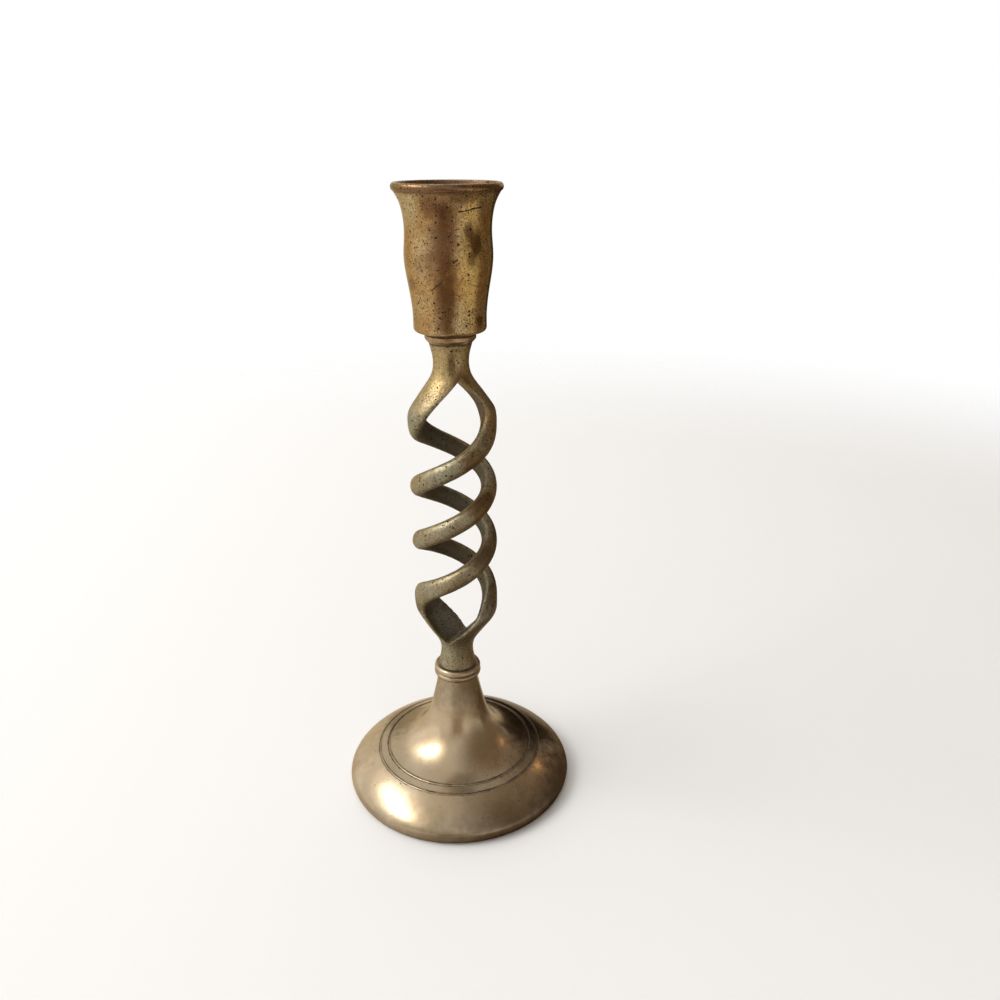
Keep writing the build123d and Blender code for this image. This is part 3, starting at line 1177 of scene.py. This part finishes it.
@dataclass(frozen=True)
class Lamp:
    """A soft oval lamp that faces the holder.

    Attributes:
        title: Its name.
        azimuth: Its direction in degrees from the camera's side, towards the right positive.
        elevation: Its direction above the table in degrees.
        distance: How far it is from the holder's middle in metres.
        size: Its width and height in metres.
        power: Its power in watts.
        colour: Its colour.
    """

    title: str
    azimuth: float
    elevation: float
    distance: float
    size: Place
    power: float
    colour: Colour = (1.0, 1.0, 1.0)

    def build(self, middle: Vector) -> bpy.types.Object:
        """Add the lamp.

        Args:
            middle: The point that it faces, in metres.

        Returns:
            The lamp.
        """
        way = direction(self.azimuth, self.elevation)
        light = bpy.data.lights.new(self.title, "AREA")
        light.shape = "ELLIPSE"
        light.size, light.size_y = self.size
        light.energy = self.power
        light.color = self.colour
        made = bpy.data.objects.new(self.title, light)
        made.location = middle + way * self.distance
        made.rotation_euler = way.to_track_quat("Z", "Y").to_euler()
        made.visible_camera = False
        bpy.context.scene.collection.objects.link(made)
        return made


@dataclass(frozen=True)
class Card:
    """A dim card with soft edges that only reflections see, as is used beside bright metal: it
    paints dark reflections of the room's shade.

    Attributes:
        title: Its name.
        azimuth: The direction of its middle in degrees from the camera's side.
        distance: How far its middle is from the axis in metres.
        width: Its width in metres.
        low: The height of its lower edge in metres.
        high: The height of its upper edge in metres, or None for a card that lies on the floor.
        depth: How deep a lying card is in metres.
        softness: The share of its size over which its edges fade.
        colour: Its colour.
    """

    title: str
    azimuth: float
    distance: float
    width: float
    low: float = 0.0
    high: float | None = None
    depth: float = 0.0
    softness: float = 0.3
    colour: Colour = (0.20, 0.155, 0.115)

    def build(self) -> bpy.types.Object:
        """Stand the card on the floor or lay it down, facing the axis.

        Returns:
            The card.
        """
        lying = self.high is None
        tilt = 0.0 if lying else math.pi / 2
        bpy.ops.object.select_all(action="DESELECT")
        bpy.ops.mesh.primitive_plane_add(size=1.0, rotation=(tilt, 0.0, math.radians(self.azimuth)))
        made = bpy.context.object
        made.name = self.title
        made.scale = (self.width, self.depth if lying else self.high - self.low, 1.0)
        height = self.low + MM if lying else (self.low + self.high) / 2
        made.location = direction(self.azimuth, 0.0) * self.distance + Vector((0.0, 0.0, height))
        fade = (0.5 - self.softness / 2, 0.5)
        made.data.materials.append(plain_surface(self.title, self.colour, fade, square=True))
        made.visible_camera = False
        made.visible_diffuse = False
        made.visible_transmission = False
        made.visible_shadow = False
        return made


def plain_surface(
    title: str, colour: Colour, fade: Place, square: bool = False
) -> bpy.types.Material:
    """Return a matt material for the stage, which fades away from its middle.

    Args:
        title: Its name.
        colour: Its colour.
        fade: The distances from the middle between which it turns clear.
        square: Whether it fades towards straight edges and not towards a round one.

    Returns:
        The new material.
    """
    made = bpy.data.materials.new(title)
    made.use_nodes = True
    graph = Graph(made.node_tree)
    sockets = {"Base Color": (*colour, 1.0), "Roughness": 0.9, "Specular IOR Level": 0.1}
    surface = graph.node("ShaderNodeBsdfPrincipled", None, sockets).outputs[0]
    place = graph.node("ShaderNodeTexCoord").outputs["Object"]
    if square:
        parts = graph.node("ShaderNodeSeparateXYZ", None, {0: place})
        across, along = (abs(Signal(graph, parts.outputs[index])) for index in (0, 1))
        away = across.larger(along).step(*fade)
    else:
        away = Signal(graph, graph.vector("LENGTH", place, output=1)).step(*fade)
    clear = graph.node("ShaderNodeBsdfTransparent").outputs[0]
    mixed = graph.node("ShaderNodeMixShader", None, {0: away, 1: surface, 2: clear})
    graph.node("ShaderNodeOutputMaterial", None, {"Surface": mixed.outputs[0]})
    return made


@dataclass
class Studio:
    """The pale floor, the room's light, the lamps, the dim cards and the camera.

    Attributes:
        floor_radius: The floor's radius in metres.
        floor_colour: Its colour.
        floor_fade: The radii between which it fades into the room, in metres.
        aim: The point that the lamps face, in metres.
        dim_side: Azimuth and elevation of the room's dim side.
        dim_radius: The radius of the disc that stands for it, in metres.
        dim_fade: The radii between which the disc fades, in metres.
        dim_colour: Its colour.
        horizon: The room's colour round the horizon.
        overhead: The room's colour overhead.
        lamps: The lamps.
        cards: The dim cards, which only reflections see.
        camera_place: Where the camera is, in metres.
        camera_pitch: Its tilt in degrees, from straight down.
        camera_roll: Its roll in degrees.
        camera_lens: Its lens in millimetres.
    """

    floor_radius: float = 0.9
    floor_colour: Colour = (0.975, 0.98, 0.985)
    floor_fade: Place = (0.42, 0.86)
    aim: Vector = field(default_factory=lambda: Vector((0.0, 0.0, 0.10)))
    dim_side: Place = (80.0, 40.0)
    dim_radius: float = 2.2
    dim_fade: Place = (0.3, 1.9)
    dim_colour: Colour = (0.20, 0.155, 0.115)
    horizon: Colour = (1.0, 1.0, 1.0)
    overhead: Colour = (0.78, 0.765, 0.74)
    lamps: tuple[Lamp, ...] = (
        Lamp(
            "window",
            azimuth=-80.0,
            elevation=42.0,
            distance=3.0,
            size=(2.3, 1.1),
            power=33.0,
            colour=(1.0, 0.985, 0.96),
        ),
        Lamp(
            "window_glow",
            azimuth=-80.0,
            elevation=41.0,
            distance=3.1,
            size=(4.2, 2.4),
            power=16.0,
            colour=(1.0, 0.985, 0.96),
        ),
        Lamp(
            "bright_wall",
            azimuth=-95.0,
            elevation=22.0,
            distance=3.4,
            size=(5.0, 3.0),
            power=14.0,
        ),
        Lamp(
            "warm_glint",
            azimuth=112.0,
            elevation=-12.0,
            distance=0.115,
            size=(0.010, 0.018),
            power=0.0014,
            colour=(1.0, 0.58, 0.24),
        ),
    )
    cards: tuple[Card, ...] = (
        Card(
            "camera_side_card",
            azimuth=-3.0,
            distance=0.62,
            width=0.8,
            low=-0.2,
            high=0.40,
            softness=0.9,
            colour=(0.46, 0.37, 0.275),
        ),
        Card(
            "camera_side_mat",
            azimuth=-2.0,
            distance=0.42,
            width=0.44,
            depth=0.44,
            softness=0.45,
            colour=(0.38, 0.30, 0.22),
        ),
        Card(
            "near_mat",
            azimuth=58.0,
            distance=0.13,
            width=0.30,
            depth=0.28,
            softness=0.35,
            colour=(0.32, 0.25, 0.185),
        ),
        Card(
            "right_card",
            azimuth=110.0,
            distance=0.16,
            width=0.16,
            low=-0.1,
            high=0.60,
            softness=0.2,
        ),
        Card(
            "rear_right_card",
            azimuth=158.0,
            distance=0.16,
            width=0.14,
            low=-0.1,
            high=0.24,
            softness=0.15,
            colour=(0.07, 0.055, 0.045),
        ),
    )
    camera_place: Vector = field(default_factory=lambda: Vector((0.0168, -0.2964, 0.2420)))
    camera_pitch: float = 67.72
    camera_roll: float = -0.04
    camera_lens: float = 31.56

    def build(self) -> None:
        """Add everything round the holder."""
        self.floor()
        self.dim_wall()
        self.room()
        for lamp in self.lamps:
            lamp.build(self.aim)
            log.info("lamp %s, %.3f W", lamp.title, lamp.power)
        for card in self.cards:
            card.build()
        self.camera()
        bpy.context.scene.view_settings.view_transform = "Standard"

    def floor(self) -> None:
        """Add the floor, which fades into the pale room at its rim."""
        self.disc("floor", self.floor_radius, self.floor_colour, self.floor_fade)

    def dim_wall(self) -> None:
        """Stand a large dim disc at the right, which fades towards its rim."""
        way = direction(*self.dim_side)
        made = self.disc("dim_wall", self.dim_radius, self.dim_colour, self.dim_fade)
        made.location = self.aim + way
        made.rotation_euler = way.to_track_quat("Z", "Y").to_euler()
        made.visible_camera = False

    @staticmethod
    def disc(title: str, radius: float, colour: Colour, fade: Place) -> bpy.types.Object:
        """Add a round plain surface that fades towards its rim.

        Args:
            title: Its name and its material's.
            radius: Its radius in metres.
            colour: Its colour.
            fade: The radii between which it fades, in metres.

        Returns:
            The disc, lying in the middle.
        """
        bpy.ops.object.select_all(action="DESELECT")
        bpy.ops.mesh.primitive_circle_add(vertices=DISC_CORNERS, radius=radius, fill_type="NGON")
        made = bpy.context.object
        made.name = title
        made.data.materials.append(plain_surface(title, colour, fade))
        return made

    def room(self) -> None:
        """Light the room: white round the horizon, softer overhead."""
        world = bpy.data.worlds.new("room")
        bpy.context.scene.world = world
        world.use_nodes = True
        graph = Graph(world.node_tree)
        way = graph.node("ShaderNodeTexCoord").outputs["Generated"]
        parts = graph.node("ShaderNodeSeparateXYZ", None, {0: way})
        rise = Signal(graph, parts.outputs[2]).step(0.12, 0.42)
        colour = graph.blend(rise, self.horizon, self.overhead)
        light = graph.node("ShaderNodeBackground", None, {"Color": colour, "Strength": 1.0})
        graph.node("ShaderNodeOutputWorld", None, {"Surface": light.outputs[0]})

    def camera(self) -> None:
        """Add the camera at the photograph's viewing angle."""
        lens = bpy.data.cameras.new("camera")
        lens.lens = self.camera_lens
        lens.clip_start = 0.01
        made = bpy.data.objects.new("camera", lens)
        made.location = self.camera_place
        made.rotation_euler = (math.radians(self.camera_pitch), 0.0, 0.0)
        made.rotation_euler.rotate_axis("Z", math.radians(self.camera_roll))
        bpy.context.scene.collection.objects.link(made)
        bpy.context.scene.camera = made


GRIME: Colour = (0.030, 0.019, 0.011)

FOOT_BRASS = Brass(
    title="foot_brass",
    pale=(0.56, 0.455, 0.315),
    golden=(0.50, 0.38, 0.24),
    brown=(0.22, 0.15, 0.095),
    grime=GRIME,
    roughness=0.235,
    cloud_size=22.0,
    tarnish=0.30,
    pits=0.26,
    pit_size=0.30,
    grain=0.10,
    skin=0.002,
    raw_inside=0.95,
    grime_and_shade_bands=(
        GrimeAndShadeBand(47.2, 0.4, 0.7),
        GrimeAndShadeBand(13.6, 0.32, 1.0),
        GrimeAndShadeBand(14.8, 0.32, 1.0),
        # The last band darkens the foot's bottom edge: painted shade, in the colour of grime
        GrimeAndShadeBand(0.3, 2.0, 0.5),
    ),
    stains_and_painted_light=(
        # The neck: painted shade, browner all round and darkest on its right
        StainAndPaintedLight((0.0, 0.0, 42.0), (17.0, 17.0, 15.0), 0.75, (0.235, 0.18, 0.115), 0.8),
        StainAndPaintedLight((10.0, -1.0, 36.0), (5.0, 9.0, 15.0), 0.8, (0.15, 0.11, 0.07), 0.8),
        # The far side of the dome, and painted shade that darkens the right side and its lower edge
        StainAndPaintedLight((-23.0, 14.0, 15.0), (12.0, 18.0, 12.0), 0.75, (0.16, 0.115, 0.07), 0.8),
        StainAndPaintedLight((28.0, 21.0, 11.0), (31.0, 39.0, 19.0), 0.95, (0.080, 0.058, 0.042), 0.8),
        StainAndPaintedLight((42.0, -10.0, 1.0), (34.0, 36.0, 14.0), 0.8, (0.135, 0.10, 0.072), 0.5),
        # Painted shade that softens the window's highlight on the left of the skirt and darkens the
        # lower band of the front
        StainAndPaintedLight((-30.0, -26.0, 8.0), (20.0, 20.0, 12.0), 0.6, (0.33, 0.265, 0.18), 0.3),
        StainAndPaintedLight((10.0, -10.0, 0.0), (60.0, 60.0, 15.0), 0.85, (0.10, 0.08, 0.06), 0.3),
    ),
)

RING_BRASS = Brass(
    title="ring_brass",
    pale=(0.50, 0.40, 0.27),
    golden=(0.42, 0.31, 0.19),
    brown=(0.20, 0.14, 0.08),
    grime=GRIME,
    roughness=0.28,
    cloud_size=9.0,
    tarnish=0.4,
    pits=0.2,
    grime_and_shade_bands=(GrimeAndShadeBand(47.2, 0.45, 0.7), GrimeAndShadeBand(49.4, 0.28, 0.8), GrimeAndShadeBand(51.8, 0.3, 0.6)),
)

STEM_BRASS = Brass(
    title="stem_brass",
    pale=(0.36, 0.33, 0.225),
    golden=(0.34, 0.265, 0.15),
    brown=(0.13, 0.09, 0.048),
    grime=(0.080, 0.072, 0.052),
    pit_colour=(0.070, 0.042, 0.020),
    making=Making.CAST,
    roughness=0.44,
    cloud_size=13.0,
    tarnish=0.5,
    pits=0.72,
    pit_size=0.46,
    grain=0.60,
    grime_and_shade_bands=(GrimeAndShadeBand(51.8, 0.3, 0.5), GrimeAndShadeBand(178.8, 0.7, 0.9)),
    # Painted shade, with some grime, on the faces that look inwards or down
    shaded_inside=0.78,
    stains_and_painted_light=(
        # The golden upper hub with its dark streak, and the flat face of the lowest strand
        StainAndPaintedLight((0.0, 0.0, 171.0), (30.0, 30.0, 15.0), 0.75, (0.50, 0.355, 0.15)),
        StainAndPaintedLight((-4.0, 3.5, 67.5), (11.0, 9.0, 14.0), 0.9, (0.38, 0.385, 0.345)),
        StainAndPaintedLight((0.5, -6.5, 172.0), (1.8, 4.0, 6.5), 0.7, (0.12, 0.07, 0.03)),
        # Painted shade on the strands' right side, away from the light, and a warmer patch at its
        # top
        StainAndPaintedLight((20.0, 2.0, 96.0), (9.0, 18.0, 50.0), 0.85, (0.078, 0.064, 0.046)),
        StainAndPaintedLight((15.0, -2.0, 151.0), (7.0, 8.0, 17.0), 0.7, (0.38, 0.235, 0.10)),
        # Brown patches down the front of the twist
        StainAndPaintedLight((4.0, -7.0, 166.0), (5.0, 5.0, 7.0), 0.75, (0.20, 0.11, 0.05)),
        StainAndPaintedLight((8.5, -12.5, 139.5), (7.0, 6.0, 6.0), 0.9, (0.15, 0.085, 0.035)),
        StainAndPaintedLight((11.0, -10.0, 122.0), (9.0, 8.0, 9.0), 0.9, (0.16, 0.09, 0.03)),
        StainAndPaintedLight((11.0, -10.0, 103.0), (9.0, 9.0, 8.0), 0.8, (0.13, 0.08, 0.04)),
        StainAndPaintedLight((10.0, -9.0, 83.0), (13.0, 12.0, 11.0), 0.65, (0.12, 0.10, 0.075), 0.6),
    ),
)

CUP_BRASS = Brass(
    title="cup_brass",
    pale=(0.45, 0.34, 0.17),
    golden=(0.42, 0.25, 0.09),
    brown=(0.17, 0.08, 0.034),
    grime=GRIME,
    roughness=0.25,
    cloud_size=15.0,
    tarnish=0.55,
    pits=0.68,
    pit_size=0.46,
    grain=0.66,
    skin=0.010,
    grime_and_shade_bands=(GrimeAndShadeBand(181.7, 0.5), GrimeAndShadeBand(227.4, 0.5, 0.4)),
    scratches=(
        Scratch(
            ((4.2, -14.4, 221.9), (7.6, -13.1, 222.3), (8.6, -12.5, 222.7), (10.8, -10.8, 222.9)),
            0.34,
        ),
        Scratch(((-5.0, -12.6, 197.8), (-3.4, -13.4, 199.1), (-1.7, -13.9, 200.4)), 0.22),
    ),
    stains_and_painted_light=(
        # The lip's brown band, and its worn edge, paler, which is partly a painted highlight
        StainAndPaintedLight((0.0, 0.0, 228.5), (60.0, 60.0, 2.3), 0.93, (0.165, 0.095, 0.052)),
        StainAndPaintedLight((0.0, 0.0, 230.6), (60.0, 60.0, 1.1), 1.0, (0.70, 0.63, 0.54)),
        # The brown streak down the front: tarnish, darkened further as a painted dark reflection of
        # the camera side
        StainAndPaintedLight((-3.5, -15.0, 223.5), (7.0, 6.0, 6.0), 0.8, (0.12, 0.06, 0.028)),
        StainAndPaintedLight((-1.0, -14.0, 212.0), (6.4, 5.0, 20.0), 0.85, (0.165, 0.08, 0.038)),
        StainAndPaintedLight((-1.0, -13.0, 193.0), (5.2, 5.0, 16.0), 0.8, (0.165, 0.085, 0.04)),
        # The golden band, a painted warm reflection, with its dark mark in three parts
        StainAndPaintedLight((8.5, -12.5, 205.0), (6.0, 8.0, 34.0), 0.9, (0.56, 0.36, 0.11)),
        StainAndPaintedLight((7.2, -12.4, 216.0), (2.4, 3.0, 4.0), 0.9, (0.12, 0.06, 0.02)),
        StainAndPaintedLight((9.4, -10.8, 211.5), (3.2, 3.0, 6.5), 0.95, (0.12, 0.06, 0.02)),
        StainAndPaintedLight((7.8, -12.0, 207.0), (2.4, 3.0, 3.2), 0.75, (0.14, 0.075, 0.025)),
        # Small marks low on the right and on the left
        StainAndPaintedLight((10.5, -7.5, 187.0), (2.2, 3.0, 3.0), 0.8, (0.11, 0.06, 0.025)),
        StainAndPaintedLight((-12.0, -7.0, 199.0), (3.0, 4.0, 3.0), 0.6, (0.14, 0.085, 0.05)),
    ),
)

COLLAR_BRASS = Brass(
    title="collar_brass",
    pale=(0.42, 0.29, 0.165),
    golden=(0.37, 0.245, 0.125),
    brown=(0.19, 0.10, 0.055),
    grime=GRIME,
    roughness=0.28,
    cloud_size=7.0,
    tarnish=0.5,
    pits=0.35,
    grime_and_shade_bands=(GrimeAndShadeBand(178.8, 0.5), GrimeAndShadeBand(181.7, 0.45)),
)

HARDWARE = ("tie_rod", "tie_washer", "tie_nut", "cup_stud")


def dress_hardware() -> None:
    """Give the steel hardware, which stays the CAD's own, its worn finish."""
    finish = Steel().material()
    for name in HARDWARE:
        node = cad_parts[name]
        node.data.materials.clear()
        node.data.materials.append(finish)
        log.info("%s: the CAD's own, with %s", name, finish.name)


def main() -> None:
    """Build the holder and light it."""
    logging.basicConfig(level=logging.INFO, format="%(name)s: %(message)s")
    pieces = (
        Foot("turned_foot", "foot", "foot_brass", FOOT_BRASS),
        KnopRing("beaded_ring", "knop_ring", "stem_brass", RING_BRASS, ((0.05, 6.0),)),
        TwistStem("open_twist_stem", "twist_stem", "stem_brass", STEM_BRASS),
        CupCollar("small_collar", "cup_collar", "cup_brass", COLLAR_BRASS, ((0.05, 6.0),)),
        CandleCup("flared_cup", "candle_cup", "cup_brass", CUP_BRASS),
    )
    for piece in pieces:
        piece.build()
    dress_hardware()
    Studio().build()


if __name__ == "__main__":
    main()
